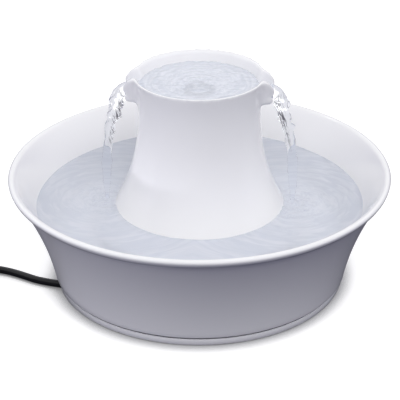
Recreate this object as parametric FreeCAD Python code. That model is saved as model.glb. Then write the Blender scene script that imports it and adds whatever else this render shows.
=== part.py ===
import FreeCAD, Part

import math
import os

# Two-stream ceramic pet water fountain, in millimetres. The origin is the middle of the base on the floor,
# +Z is up, and the two spouts point along +X and -X. The cord leaves through a notch at the left.

V = FreeCAD.Vector
UP = V(0, 0, 1)
ALONG_X = V(1, 0, 0)
ORIGIN = V(0, 0, 0)

# Clearances
slide_gap = 0.3
running_gap = 0.8
shaft_gap = 0.15

# How far a cutting tool runs past the surface that it cuts
past = 1.0
far_past = 6.0

# Bowl
foot_r = 121.5
foot_inner_r = 111.0
foot_lean = 0.8
pad_proud = 0.6
groove_z = 6.0
groove_height = 1.4
groove_depth = 1.5
wall_foot_r = 123.6
shoulder_r = 153.0
shoulder_z = 88.0
wall_bow = 3.5
wall = 5.6
rim_r = 159.0
rim_z = 97.5
lip = 5.4
floor_z = 17.0
floor_thickness = 6.0
floor_round = 14.0

# Shares of the lip's width and height that shape its rounded edge, and of the flare under it
flare_share = 0.44
outer_reach_share = 0.2
outer_fall_share = 0.14
inner_reach_share = 0.86
inner_fall_share = 0.1
lip_span_share = 1.15

# Cord notch in the foot ring, and the hollow stem that brings the lead up above the water
notch_angle = 197.9
notch_width = 14.0
notch_height = 7.4
stem_angle = 197.0
stem_reach = 39.5
stem_bore_r = 13.0
stem_wall = 3.0
stem_top_z = 75.0
stem_root_round = 5.0

# Non-slip pads set in the foot ring
pad_count = 6
pad_r = 3.6
pad_height = 1.8

# Tower
neck_r = 50.3
neck_z = 148.0
column_bow_r = 166.5
mouth_bow_r = 148.0
skirt_r = 88.0
tower_wall = 6.0
tower_top_z = 183.0
skirt_round = 3.0
dish_lip = 3.8
dish_wall_drop = 12.0
dish_wall_r = 46.6
dish_depth = 23.0
dish_floor_r = 30.0
dish_thickness = 7.0
dish_bend_share = 0.78
dish_rise_share = 0.35
rim_round = 1.4
neck_taper = 1.5
inlet_count = 6
inlet_width = 16.0
inlet_height = 12.0

# Spouts
spout_tip = 62.0
spout_tip_foot = 58.5
spout_half = 12.0
spout_half_foot = 9.5
spout_drop = 23.0
spout_blend_r = 9.0
spout_root = 30.0
spout_wall = 3.2
spout_sink = 0.4
channel_drop = 17.5
channel_round = 5.0
tip_round = 3.0
tip_fall = 7.0

# Outlet in the middle of the dish
outlet_hole_r = 10.5
outlet_flange_r = 12.5
outlet_flange = 3.0
riser_bore_r = 6.3
riser_wall = 1.7
riser_foot_z = 60.5
riser_step = 1.0
seal_r = 14.0
seal_height = 2.6

# Pump housing
cup_height = 4.0
cup_r = 8.0
cup_stud_r = 3.0
cup_hollow = 1.6
cup_edge = 0.5
cup_margin = 2.0
housing_wall = 2.5
housing_floor = 2.0
housing_left = -16.0
housing_right = 46.0
housing_half = 28.0
housing_top_z = 56.5
housing_corner = 6.0
lid_thickness = 2.5
lid_overhang = 0.8
slot_width = 2.6
slot_pitch = 6.2
slot_height = 24.0

# Pump
axis_z = 39.0
cover_front = -8.0
cover_back = 8.0
cover_half = 16.0
cover_front_wall = 3.0
chamber_r = 12.6
motor_back = 29.5
motor_half = 19.0
motor_top_z = 54.5
motor_corner = 4.0
well_r = 8.6
well_back = 27.6
spigot_r = 6.0
spigot_bore_r = 4.5
spigot_top_z = 72.0
port_count = 4
port_r = 2.6
port_ring_r = 7.6
shaft_r = 1.2
bush_r = 3.2
bush_length = 1.6
magnet_r = 7.8
hub_r = 3.9
blade_count = 6
blade_thickness = 1.4
blade_reach = 11.4
wheel_disc = 2.0
regulator_r = 9.6
regulator_height = 1.9
lever_length = 4.0
lever_half = 1.6
screw_r = 1.3
screw_head_r = 2.5
screw_head = 1.4
screw_length = 9.0
screw_ring_y = 13.0
screw_ring_z = 12.0

# Filters
foam_back = 34.4
foam_corner = 2.5
carbon_left = 35.0
carbon_thickness = 7.5
carbon_half = 19.0
carbon_frame = 2.2
carbon_depth = 1.6
carbon_bars = 4
tab_half = 5.5
tab_height = 10.0
tab_thickness = 3.2
tab_hole_r = 2.4

# Cord and lead
cord_r = 3.15
cord_lift = 0.1
lead_x = 18.0
lead_y = -14.0
lead_drop_x = -37.0
lead_drop_y = -17.0
lead_top_z = 111.5
lead_turn_r = 27.0
lead_foot_turn_r = 18.0
gland_r = 5.2
gland_height = 5.0
grommet_flange_r = 15.2
grommet_flange = 2.0
grommet_depth = 7.0

# Route of the cord on the floor, from the notch to the coil, chosen by hand
lead_bend = (-98.9, -39.2)
exit_point = (-118.4, -34.9)
cord_route = [
    (-134.0, -31.5, 0.0),
    (-150.5, -22.0, 0.0),
    (-166.5, -14.5, 0.0),
    (-183.0, -12.0, 0.4),
    (-199.5, -14.3, 1.0),
]
coil_centre = (-222.0, -64.0)
coil_outer_r = 49.7
coil_pitch = 6.86
coil_turns = 3.5
coil_lift = 1.0
layer_step = 6.9
coil_lead_in = 7.0
coil_tail = 10.0

# Tie and plug
tie_width = 14.0
tie_thickness = 0.8
tie_corner = 3.0
tie_angle = 215.0
relief_length = 28.0
relief_end_r = 6.0
relief_rings = 4
relief_ring_depth = 0.8
relief_step = 0.5
plug_length = 30.0
plug_width = 20.0
plug_corner = 7.0
plug_rear_round = 3.0
pin_length = 17.0
pin_thickness = 1.6
pin_width = 6.3
pin_spacing = 12.7
pin_hole_r = 1.6
pin_hole_place = 4.0

dish_wall_z = tower_top_z - dish_wall_drop
dish_floor_z = tower_top_z - dish_depth
spout_foot_z = tower_top_z - spout_drop
channel_z = tower_top_z - channel_drop
cord_z = cord_r + cord_lift
coil_z = cord_z + coil_lift


def line(a, b):
    return Part.LineSegment(a, b).toShape()


def arc(a, b, c):
    return Part.Arc(a, b, c).toShape()


def section_point(r, z):
    return V(r, 0, z)


def section_edges(steps):
    # Each step is the end point of a line, or a pair of a middle point and an end point of an arc.
    edges = []
    here = section_point(*steps[0])
    for step in steps[1:]:
        if isinstance(step[0], tuple):
            middle = section_point(*step[0])
            end = section_point(*step[1])
            edges.append(arc(here, middle, end))
        else:
            end = section_point(*step)
            edges.append(line(here, end))
        here = end
    return edges


def revolved(steps):
    closed = list(steps) + [steps[0]]
    return Part.Face(Part.Wire(section_edges(closed))).revolve(ORIGIN, UP, 360)


def box(x0, x1, y0, y1, z0, z1):
    return Part.makeBox(x1 - x0, y1 - y0, z1 - z0, V(x0, y0, z0))


def post(r, x, y, z0, z1):
    return Part.makeCylinder(r, z1 - z0, V(x, y, z0))


def axle(r, x0, x1, y=0.0, z=axis_z):
    return Part.makeCylinder(r, x1 - x0, V(x0, y, z), ALONG_X)


def ring(r_out, r_in, z0, z1, x=0.0, y=0.0):
    return post(r_out, x, y, z0, z1).cut(post(r_in, x, y, z0 - 1, z1 + 1))


def round_vertical(solid, radius):
    upright = [e for e in solid.Edges if e.BoundBox.ZLength > 1 and e.BoundBox.XLength + e.BoundBox.YLength < 0.01]
    return solid.makeFillet(radius, upright)


def rounded_box(x0, x1, y0, y1, z0, z1, corner):
    return round_vertical(box(x0, x1, y0, y1, z0, z1), corner)


def turned(shape, degrees, centre=ORIGIN, axis=UP):
    copy = shape.copy()
    copy.rotate(centre, axis, degrees)
    return copy


def polar(radius, degrees):
    return radius * math.cos(math.radians(degrees)), radius * math.sin(math.radians(degrees))


def circle_edges(shape, z, radius):
    found = []
    for edge in shape.Edges:
        curve = edge.Curve
        if isinstance(curve, Part.Circle) and abs(curve.Center.z - z) < 0.01 and abs(curve.Radius - radius) < 0.01:
            found.append(edge)
    return found


def wall_circle():
    # The outer wall is one long arc from the groove to the shoulder. Its centre lies outside the bowl.
    foot = V(wall_foot_r, 0, groove_z + groove_height)
    shoulder = V(shoulder_r, 0, shoulder_z)
    chord = shoulder - foot
    radius = chord.Length ** 2 / (8 * wall_bow) + wall_bow / 2
    outward = V(chord.z, 0, -chord.x).normalize()
    return (foot + shoulder) * 0.5 + outward * (radius - wall_bow), radius


def bowl_r(z, inwards=0.0):
    centre, radius = wall_circle()
    return centre.x - math.sqrt((radius + inwards) ** 2 - (z - centre.z) ** 2)


def tower_r(z, inwards=0.0):
    bow = column_bow_r if z < neck_z else mouth_bow_r
    return neck_r + bow - math.sqrt((bow + inwards) ** 2 - (z - neck_z) ** 2)


def skirt_z(inwards=0.0):
    # The height at which the column's flare reaches the skirt.
    across = neck_r + column_bow_r - (skirt_r - inwards)
    return neck_z - math.sqrt((column_bow_r + inwards) ** 2 - across ** 2)


def make_bowl():
    groove_top = groove_z + groove_height
    wall_middle = (groove_top + shoulder_z) / 2
    edge_z = rim_z - lip / 2
    inner_top_z = rim_z - lip / 3
    inner_middle = (floor_z + inner_top_z) / 2
    body = revolved([
        (0, floor_z - floor_thickness),
        (foot_inner_r, floor_z - floor_thickness),
        (foot_inner_r, pad_proud),
        (foot_r, pad_proud),
        (foot_r + foot_lean, groove_z),
        (foot_r + foot_lean - groove_depth, groove_z),
        (foot_r + foot_lean - groove_depth, groove_top),
        (wall_foot_r, groove_top),
        ((bowl_r(wall_middle), wall_middle), (shoulder_r, shoulder_z)),
        ((shoulder_r + flare_share * (rim_r - shoulder_r), (shoulder_z + edge_z) / 2), (rim_r, edge_z)),
        ((rim_r - outer_reach_share * lip, rim_z - outer_fall_share * lip), (rim_r - lip / 2, rim_z)),
        ((rim_r - inner_reach_share * lip, rim_z - inner_fall_share * lip),
         (rim_r - lip_span_share * lip, inner_top_z)),
        ((bowl_r(inner_middle, wall), inner_middle), (bowl_r(floor_z, wall), floor_z)),
        (0, floor_z),
    ])
    body = body.makeFillet(floor_round, circle_edges(body, floor_z, bowl_r(floor_z, wall)))
    stem_x, stem_y = polar(stem_reach, stem_angle)
    stem = post(stem_bore_r + stem_wall, stem_x, stem_y, floor_z - floor_thickness / 2, stem_top_z)
    body = body.fuse(stem)
    root = [e for e in body.Edges if isinstance(e.Curve, Part.Circle) and abs(e.BoundBox.ZMax - floor_z) < 0.01
            and abs(e.Curve.Radius - stem_bore_r - stem_wall) < 0.01]
    body = body.makeFillet(stem_root_round, root)
    body = body.cut(post(stem_bore_r, stem_x, stem_y, 0, stem_top_z + past))
    notch = box(foot_inner_r - far_past, wall_foot_r + far_past, -notch_width / 2, notch_width / 2, -past,
                notch_height)
    top_edges = [e for e in notch.Edges if abs(e.BoundBox.ZMin - notch_height) < 0.01 and e.BoundBox.XLength > 1]
    notch = notch.makeFillet(notch_width / 4, top_edges)
    body = body.cut(turned(notch, notch_angle))
    for x, y in pad_places():
        body = body.cut(post(pad_r + slide_gap, x, y, 0, pad_height))
    return body


def pad_places():
    middle = (foot_r + foot_inner_r) / 2
    first = notch_angle + 180.0 / pad_count
    return [polar(middle, first + i * 360.0 / pad_count) for i in range(pad_count)]


def make_base_pads():
    return [post(pad_r, x, y, 0, pad_height) for x, y in pad_places()]


def spout_outline(z, circle_r, half, tip):
    # The plan of one spout: the side walls run out of the round mouth in a hollow curve.
    lift = math.asin((half + spout_blend_r) / (circle_r + spout_blend_r))
    centre = V((circle_r + spout_blend_r) * math.cos(lift), half + spout_blend_r, z)
    leave = V(circle_r * math.cos(lift), circle_r * math.sin(lift), z)
    middle_turn = math.radians(180) + (lift + math.radians(90)) / 2
    middle = centre + V(math.cos(middle_turn), math.sin(middle_turn), 0) * spout_blend_r
    meet = V(centre.x, half, z)
    corner = V(tip, half, z)
    root = V(spout_root, circle_r * math.sin(lift), z)

    def other(p):
        return V(p.x, -p.y, p.z)

    return Part.Wire([
        line(root, leave),
        arc(leave, middle, meet),
        line(meet, corner),
        line(corner, other(corner)),
        line(other(corner), other(meet)),
        arc(other(meet), other(middle), other(leave)),
        line(other(leave), other(root)),
        line(other(root), root),
    ])


def make_spout():
    low = spout_outline(spout_foot_z, tower_r(spout_foot_z) - spout_sink, spout_half_foot, spout_tip_foot)
    high = spout_outline(tower_top_z, tower_r(tower_top_z), spout_half, spout_tip)
    spout = Part.makeLoft([low, high], True, True)
    under = [e for e in spout.Edges if e.BoundBox.ZMax < spout_foot_z + 0.01 and e.BoundBox.XMax > spout_root + 0.01
             and e.BoundBox.XMin > tower_r(spout_foot_z) - tower_wall]
    spout = spout.makeFillet(tip_round, under)
    tip = [e for e in spout.Edges if e.BoundBox.ZMin > tower_top_z - 0.01 and e.BoundBox.XMin > spout_tip - 0.01]
    return spout.makeFillet(tip_fall, tip)


def make_channel():
    half = spout_half - spout_wall
    channel = box(dish_floor_r, spout_tip + far_past, -half, half, channel_z, tower_top_z + far_past)
    low = [e for e in channel.Edges if e.BoundBox.XLength > 1 and abs(e.BoundBox.ZMax - channel_z) < 0.01]
    return channel.makeFillet(channel_round, low)


def make_tower():
    foot = floor_z + slide_gap
    flare = skirt_z()
    middle = (flare + neck_z) / 2
    mouth_middle = (neck_z + tower_top_z) / 2
    round_share = 1 - math.sqrt(0.5)
    body = revolved([
        (0, foot),
        (skirt_r - skirt_round, foot),
        ((skirt_r - round_share * skirt_round, foot + round_share * skirt_round), (skirt_r, foot + skirt_round)),
        (skirt_r, flare),
        ((tower_r(middle), middle), (neck_r, neck_z)),
        ((tower_r(mouth_middle), mouth_middle), (tower_r(tower_top_z), tower_top_z)),
        (0, tower_top_z),
    ])
    spout = make_spout()
    body = body.fuse([spout, turned(spout, 180)])
    inner_flare = skirt_z(tower_wall)
    inner_middle = (inner_flare + neck_z) / 2
    ceiling = dish_floor_z - dish_thickness
    hollow = revolved([
        (0, foot - past),
        (skirt_r - tower_wall, foot - past),
        (skirt_r - tower_wall, inner_flare),
        ((tower_r(inner_middle, tower_wall), inner_middle), (neck_r - tower_wall, neck_z)),
        (neck_r - tower_wall - neck_taper, ceiling),
        (0, ceiling),
    ])
    inner_rim_r = tower_r(tower_top_z) - dish_lip
    dish = revolved([
        (0, dish_floor_z),
        (dish_floor_r, dish_floor_z),
        ((dish_floor_r + dish_bend_share * (dish_wall_r - dish_floor_r),
          dish_floor_z + dish_rise_share * (dish_wall_z - dish_floor_z)), (dish_wall_r, dish_wall_z)),
        (inner_rim_r, tower_top_z - rim_round),
        ((inner_rim_r + round_share * rim_round, tower_top_z - round_share * rim_round),
         (inner_rim_r + rim_round, tower_top_z)),
        (inner_rim_r + rim_round, tower_top_z + past),
        (0, tower_top_z + past),
    ])
    channel = make_channel()
    outlet = post(outlet_hole_r, 0, 0, ceiling - past, dish_floor_z + past)
    body = body.cut([hollow, dish, channel, turned(channel, 180), outlet])
    spring_z = foot + inlet_height - inlet_width / 2
    for i in range(inlet_count):
        inlet = box(skirt_r - tower_wall - past, skirt_r + past, -inlet_width / 2, inlet_width / 2, foot - past,
                    spring_z)
        arch = Part.makeCylinder(inlet_width / 2, tower_wall + 2 * past, V(skirt_r - tower_wall - past, 0, spring_z),
                                 ALONG_X)
        body = body.cut(turned(inlet.fuse(arch), (i + 0.5) * 360.0 / inlet_count))
    return body


def make_riser_tube():
    top = dish_floor_z + outlet_flange - riser_step
    return ring(riser_bore_r + riser_wall, riser_bore_r, riser_foot_z, top)


def make_outlet_ring():
    bore = riser_bore_r + riser_wall + shaft_gap
    top = dish_floor_z + outlet_flange
    flange = post(outlet_flange_r, 0, 0, dish_floor_z, top)
    flange = flange.makeFillet(outlet_flange / 2.2, circle_edges(flange, top, outlet_flange_r))
    neck = post(outlet_hole_r - slide_gap, 0, 0, dish_floor_z - dish_thickness, dish_floor_z)
    return flange.fuse(neck).removeSplitter().cut(post(bore, 0, 0, 0, tower_top_z))


def make_riser_seal():
    ceiling = dish_floor_z - dish_thickness
    return ring(seal_r, riser_bore_r + riser_wall, ceiling - seal_height, ceiling)


def cup_places():
    x0 = housing_left + cup_r + cup_margin
    x1 = housing_right - cup_r - cup_margin
    y = housing_half - cup_r - cup_margin
    return [(x0, y), (x0, -y), (x1, y), (x1, -y)]


def make_suction_cups():
    cups = []
    top = floor_z + cup_height
    for x, y in cup_places():
        cup = revolved([
            (0, floor_z + cup_hollow),
            (cup_r - 2 * cup_hollow, floor_z + 0.8 * cup_hollow),
            (cup_r - cup_edge, floor_z),
            (cup_r, floor_z),
            (cup_r - cup_edge, floor_z + 2 * cup_edge),
            (cup_stud_r + 2 * cup_edge, floor_z + cup_hollow + 2 * cup_edge),
            (cup_stud_r, floor_z + cup_hollow + 3 * cup_edge),
            (cup_stud_r + 2 * cup_edge, top),
            (0, top),
        ])
        cup.translate(V(x, y, 0))
        cups.append(cup)
    return cups


def housing_bottom():
    return floor_z + cup_height


def make_filter_housing():
    z0 = housing_bottom()
    outer = rounded_box(housing_left, housing_right, -housing_half, housing_half, z0, housing_top_z, housing_corner)
    inner = rounded_box(housing_left + housing_wall, housing_right - housing_wall, -housing_half + housing_wall,
                        housing_half - housing_wall, z0 + housing_floor, housing_top_z + past,
                        housing_corner - housing_wall)
    shell = outer.cut(inner)
    slot_z = (z0 + housing_top_z - slot_height) / 2
    middle_x = (housing_left + housing_right) / 2
    slots = []
    for i in range(-3, 4):
        x = middle_x + i * slot_pitch
        slots.append(box(x - slot_width / 2, x + slot_width / 2, -housing_half - past, housing_half + past, slot_z,
                         slot_z + slot_height))
    for i in range(-2, 3):
        y = i * slot_pitch
        slots.append(box(housing_right - 2 * housing_wall, housing_right + past, y - slot_width / 2,
                         y + slot_width / 2, slot_z, slot_z + slot_height))
    return shell.cut(slots)


def make_housing_lid():
    top = housing_top_z + lid_thickness
    cap = rounded_box(housing_left - lid_overhang, housing_right + lid_overhang, -housing_half - lid_overhang,
                      housing_half + lid_overhang, housing_top_z, top, housing_corner + lid_overhang)
    cap = cap.makeFillet(lid_overhang, [e for e in cap.Edges if e.BoundBox.ZMin > top - 0.01])
    openings = [
        post(spigot_r + slide_gap, 0, 0, 0, top + past),
        box(carbon_left - slide_gap, carbon_left + carbon_thickness + slide_gap, -carbon_half - slide_gap,
            carbon_half + slide_gap, 0, top + past),
        post(gland_r + slide_gap, lead_x, lead_y, 0, top + past),
        box(lead_x - cord_r - slide_gap, lead_x + cord_r + slide_gap, -housing_half - far_past, lead_y, 0, top + past),
    ]
    return cap.cut(openings)


def make_pump_body():
    z0 = housing_bottom() + housing_floor
    block = rounded_box(cover_back, motor_back, -motor_half, motor_half, z0, motor_top_z, motor_corner)
    block = block.makeFillet(motor_corner / 2, [e for e in block.Edges if e.BoundBox.ZMin > motor_top_z - 0.01])
    tools = [axle(well_r, cover_back - past, well_back - bush_length), axle(bush_r, cover_back, well_back)]
    tools += [axle(screw_r, cover_back - past, cover_back + screw_length, y, z) for y, z in screw_places()]
    return block.cut(tools)


def screw_places():
    return [(side * screw_ring_y, axis_z + up * screw_ring_z) for side in (-1, 1) for up in (-1, 1)]


def make_pump_cover():
    z0 = housing_bottom() + housing_floor
    block = rounded_box(cover_front, cover_back, -cover_half, cover_half, z0, motor_top_z, motor_corner / 2)
    block = block.fuse(post(spigot_r, 0, 0, motor_top_z - past, spigot_top_z)).removeSplitter()
    inner_front = cover_front + cover_front_wall
    tools = [axle(chamber_r, inner_front, cover_back + past), post(spigot_bore_r, 0, 0, axis_z, spigot_top_z + past)]
    tools.append(axle(bush_r, inner_front - bush_length, inner_front + past))
    for i in range(port_count):
        y, up = polar(port_ring_r, (i + 0.5) * 360.0 / port_count)
        tools.append(axle(port_r, cover_front - past, inner_front + past, y, axis_z + up))
    for y, z in screw_places():
        tools.append(axle(screw_r, cover_front - past, cover_back + past, y, z))
        tools.append(axle(screw_head_r + slide_gap, cover_front - past, cover_front + screw_head, y, z))
    return block.cut(tools)


def make_pump_screws():
    screws = []
    for y, z in screw_places():
        head = axle(screw_head_r, cover_front, cover_front + screw_head, y, z)
        shank = axle(screw_r, cover_front + screw_head, cover_back + screw_length, y, z)
        screws.append(head.fuse(shank).removeSplitter())
    return screws


def make_bush(x0):
    return axle(bush_r, x0, x0 + bush_length).cut(axle(shaft_r, x0 - past, x0 + bush_length + past))


def make_front_bush():
    return make_bush(cover_front + cover_front_wall - bush_length)


def make_rear_bush():
    return make_bush(well_back - bush_length)


def make_impeller_shaft():
    return axle(shaft_r, cover_front + cover_front_wall - bush_length, well_back)


def wheel_front():
    return cover_front + cover_front_wall + running_gap


def wheel_back():
    return cover_back - running_gap


def make_rotor_magnet():
    back = well_back - bush_length - running_gap
    return axle(magnet_r, wheel_back(), back).cut(axle(shaft_r + shaft_gap, 0, back + past))


def make_impeller_wheel():
    front = wheel_front()
    back = wheel_back()
    wheel = axle(hub_r, front, back)
    blade = box(front, back - wheel_disc, 0, blade_reach, axis_z - blade_thickness / 2, axis_z + blade_thickness / 2)
    centre = V(0, 0, axis_z)
    blades = [turned(blade, i * 360.0 / blade_count, centre, ALONG_X) for i in range(blade_count)]
    disc = axle(blade_reach, back - wheel_disc, back)
    wheel = wheel.fuse(blades + [disc]).removeSplitter()
    return wheel.cut(axle(shaft_r + shaft_gap, front - past, back + past))


def make_flow_regulator():
    front = cover_front - slide_gap - regulator_height
    disc = axle(regulator_r, front, cover_front - slide_gap)
    lever = box(front, front + regulator_height, -lever_half, lever_half, axis_z,
                axis_z + regulator_r + lever_length)
    tip = axle(lever_half, front, front + regulator_height, 0, axis_z + regulator_r + lever_length)
    plate = disc.fuse([lever, tip]).removeSplitter()
    pivot = axle(hub_r / 2, front - past, front)
    plate = plate.fuse(pivot).removeSplitter()
    tools = []
    for i in range(port_count):
        y, up = polar(port_ring_r, (i + 0.5) * 360.0 / port_count)
        tools.append(axle(port_r, front - past, cover_front, y, axis_z + up))
    return plate.cut(tools)


def make_foam_filter():
    z0 = housing_bottom() + housing_floor
    x0 = cover_front
    outer_half = housing_half - housing_wall - slide_gap
    outer = rounded_box(x0, foam_back, -outer_half, outer_half, z0, motor_top_z, foam_corner)
    inner_half = motor_half + slide_gap
    inner = box(x0 - far_past, motor_back + slide_gap, -inner_half, inner_half, z0 - past, motor_top_z + past)
    return outer.cut(inner)


def make_carbon_frame():
    z0 = housing_bottom() + housing_floor + slide_gap
    x1 = carbon_left + carbon_thickness
    top = housing_top_z + lid_thickness
    frame = box(carbon_left, x1, -carbon_half, carbon_half, z0, top)
    middle_x = carbon_left + carbon_thickness / 2
    tab = box(middle_x - tab_thickness / 2, middle_x + tab_thickness / 2, -tab_half, tab_half, top, top + tab_height)
    frame = frame.fuse(tab).removeSplitter()
    hole = Part.makeCylinder(tab_hole_r, carbon_thickness, V(carbon_left, 0, top + tab_height / 2), ALONG_X)
    window_top = housing_top_z - carbon_frame
    pocket = box(carbon_left + carbon_depth, x1 - carbon_depth, -carbon_half + carbon_frame,
                 carbon_half - carbon_frame, z0 + carbon_frame, window_top)
    frame = frame.cut([hole, pocket])
    span = (2 * (carbon_half - carbon_frame) - (carbon_bars - 1) * carbon_frame) / carbon_bars
    for i in range(carbon_bars):
        y = -carbon_half + carbon_frame + i * (span + carbon_frame)
        frame = frame.cut(box(carbon_left - past, x1 + past, y, y + span, z0 + carbon_frame, window_top))
    return frame


def make_carbon_pad():
    z0 = housing_bottom() + housing_floor + slide_gap
    x1 = carbon_left + carbon_thickness
    return box(carbon_left + carbon_depth, x1 - carbon_depth, -carbon_half + carbon_frame, carbon_half - carbon_frame,
               z0 + carbon_frame, housing_top_z - carbon_frame)


def make_stem_grommet():
    x, y = polar(stem_reach, stem_angle)
    plug = post(stem_bore_r - slide_gap, x, y, stem_top_z - grommet_depth, stem_top_z)
    flange = post(grommet_flange_r, x, y, stem_top_z, stem_top_z + grommet_flange)
    return plug.fuse(flange).removeSplitter().cut(post(cord_r, lead_drop_x, lead_drop_y, 0, stem_top_z + far_past))


def make_lead_gland():
    top = motor_top_z + gland_height
    gland = Part.makeCone(gland_r, cord_r + relief_step, gland_height, V(lead_x, lead_y, motor_top_z))
    return gland.cut(post(cord_r, lead_x, lead_y, motor_top_z - past, top + past))


def corner_arc(before, corner, after, radius):
    # Start, middle and end of the arc that rounds a corner of the route.
    back = (before - corner).normalize()
    ahead = (after - corner).normalize()
    half = back.getAngle(ahead) / 2
    reach = radius / math.tan(half)
    inwards = (back + ahead).normalize()
    middle = corner + inwards * (radius / math.sin(half) - radius)
    return corner + back * reach, middle, corner + ahead * reach


def rounded_route(points, radii):
    edges = []
    here = points[0]
    for i, radius in enumerate(radii):
        start, middle, end = corner_arc(points[i], points[i + 1], points[i + 2], radius)
        edges.append(line(here, start))
        edges.append(arc(start, middle, end))
        here = end
    edges.append(line(here, points[-1]))
    return Part.Wire(edges)


def tube(path, start, direction, radius):
    profile = Part.Wire([Part.Circle(start, direction, radius).toShape()])
    return path.makePipeShell([profile], True, False)


def cord_radii(points):
    # Each corner's arc takes 0.45 of the shorter run beside it.
    radii = []
    for before, corner, after in zip(points, points[1:], points[2:]):
        back = before - corner
        ahead = after - corner
        turn = math.pi - back.getAngle(ahead)
        radii.append(0.45 * min(back.Length, ahead.Length) / math.tan(turn / 2))
    return radii


def make_pump_lead():
    bend = V(lead_bend[0], lead_bend[1], cord_z)
    leave = V(exit_point[0], exit_point[1], cord_z)
    points = [
        V(lead_x, lead_y, motor_top_z),
        V(lead_x, lead_y, lead_top_z),
        V(lead_drop_x, lead_drop_y, lead_top_z),
        V(lead_drop_x, lead_drop_y, cord_z),
        bend,
        leave,
    ]
    last = 0.45 * (leave - bend).Length / math.tan((math.pi - (points[3] - bend).getAngle(leave - bend)) / 2)
    path = rounded_route(points, [lead_turn_r, lead_turn_r, lead_foot_turn_r, last])
    return tube(path, points[0], UP, cord_r), path


def coil_entry():
    return V(coil_centre[0] + coil_lead_in, coil_centre[1] + coil_outer_r, coil_z)


def route_points():
    points = [V(exit_point[0], exit_point[1], cord_z)]
    points += [V(x, y, cord_z + lift) for x, y, lift in cord_route]
    points.append(coil_entry())
    return points


def make_cord_run():
    points = route_points()
    path = rounded_route(points, cord_radii(points))
    return tube(path, points[0], points[1] - points[0], cord_r), path


def coil_point(turn):
    # One layer spirals in, the next spirals out, with the climb in the half turn where it reverses.
    inward = coil_turns - abs(turn - coil_turns)
    radius = coil_outer_r - coil_pitch * inward
    climb = min(max((turn - coil_turns) * 2 + 0.5, 0.0), 1.0)
    angle = math.radians(90) + 2 * math.pi * turn
    height = coil_z + layer_step * (3 * climb ** 2 - 2 * climb ** 3)
    return V(coil_centre[0] + radius * math.cos(angle), coil_centre[1] + radius * math.sin(angle), height)


def coil_direction(turn):
    step = 1e-4
    ahead = coil_point(min(turn + step, 2 * coil_turns))
    behind = coil_point(max(turn - step, 0.0))
    if turn < step or turn > 2 * coil_turns - step:
        return V(-1, 0, 0)
    return (ahead - behind).normalize()


def arc_from(start, direction, end):
    chord = end - start
    along = chord.normalize() * direction.dot(chord.normalize())
    side = direction - along
    if side.Length < 1e-6:
        return line(start, end)
    length = (end - start).Length
    angle = math.atan2(side.Length, direction.dot((end - start).normalize()))
    middle = (start + end) * 0.5 + side.normalize() * (length / 2 * math.tan(angle / 2))
    return arc(start, middle, end)


def biarc(start, start_dir, end, end_dir):
    chord = end - start
    both = start_dir + end_dir
    spread = 2 * (1 - start_dir.dot(end_dir))
    along = chord.dot(both)
    if spread < 1e-9:
        reach = chord.dot(chord) / (4 * chord.dot(end_dir))
    else:
        reach = (math.sqrt(along ** 2 + spread * chord.dot(chord)) - along) / spread
    joint = (start + start_dir * reach + end - end_dir * reach) * 0.5
    return [arc_from(start, start_dir, joint), arc_from(end, end_dir * -1, joint)]


def coil_path():
    quarters = int(round(8 * coil_turns))
    turns = [i / 4.0 for i in range(quarters + 1)]
    edges = [line(coil_entry(), coil_point(0))]
    for a, b in zip(turns, turns[1:]):
        edges += biarc(coil_point(a), coil_direction(a), coil_point(b), coil_direction(b))
    last = coil_point(turns[-1])
    edges.append(line(last, last + V(-coil_tail, 0, 0)))
    return Part.Wire(edges)


def coil_least_gap():
    samples = 72
    count = int(2 * coil_turns * samples)
    points = [coil_point(i / samples) for i in range(count + 1)]
    near = samples // 3
    least = min((points[i] - points[j]).Length for i in range(len(points)) for j in range(i + near, len(points)))
    return least - 2 * cord_r


def make_cord_coil():
    path = coil_path()
    return tube(path, coil_entry(), V(-1, 0, 0), cord_r), path


def make_cord_tie():
    inner_r = coil_outer_r - coil_pitch * coil_turns - cord_r - slide_gap
    outer_r = coil_outer_r + cord_r + slide_gap
    low = coil_z - cord_r - slide_gap / 2
    high = coil_z + layer_step + cord_r + slide_gap
    outer = box(inner_r - tie_thickness, outer_r + tie_thickness, -tie_width / 2, tie_width / 2, low - tie_thickness,
                high + tie_thickness)
    inner = box(inner_r, outer_r, -tie_width, tie_width, low, high)
    long_edges = [e for e in outer.Edges if e.BoundBox.YLength > 1]
    outer = outer.makeFillet(tie_corner, long_edges)
    inner = inner.makeFillet(tie_corner - 0.75 * tie_thickness, [e for e in inner.Edges if e.BoundBox.YLength > 1])
    band = turned(outer.cut(inner), tie_angle)
    band.translate(V(coil_centre[0], coil_centre[1], 0))
    return band


def plug_start():
    return coil_point(2 * coil_turns) + V(-coil_tail, 0, 0)


def lengthwise(r, s0, s1):
    start = plug_start()
    return Part.makeCylinder(r, s1 - s0, V(start.x - s0, start.y, start.z), V(-1, 0, 0))


def make_plug_relief():
    start = plug_start()
    cone = Part.makeCone(cord_r + relief_step, relief_end_r, relief_length, start, V(-1, 0, 0))
    step = relief_length / (relief_rings + 1)
    for i in range(relief_rings):
        s = (i + 0.7) * step
        r = cord_r + relief_step + (relief_end_r - cord_r - relief_step) * s / relief_length
        groove = lengthwise(r + past, s, s + step * 0.4).cut(lengthwise(r - relief_ring_depth / 2, s - past, s + step))
        cone = cone.cut(groove)
    return cone


def make_plug_body():
    start = plug_start()
    x1 = start.x - relief_length
    half_height = start.z - cord_lift
    body = box(x1 - plug_length, x1, start.y - plug_width / 2, start.y + plug_width / 2, start.z - half_height,
               start.z + half_height)
    body = body.makeFillet(plug_corner, [e for e in body.Edges if e.BoundBox.XLength > 1])
    rear = [e for e in body.Edges if e.BoundBox.XMin > x1 - 0.01]
    return body.makeFillet(plug_rear_round, rear)


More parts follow.
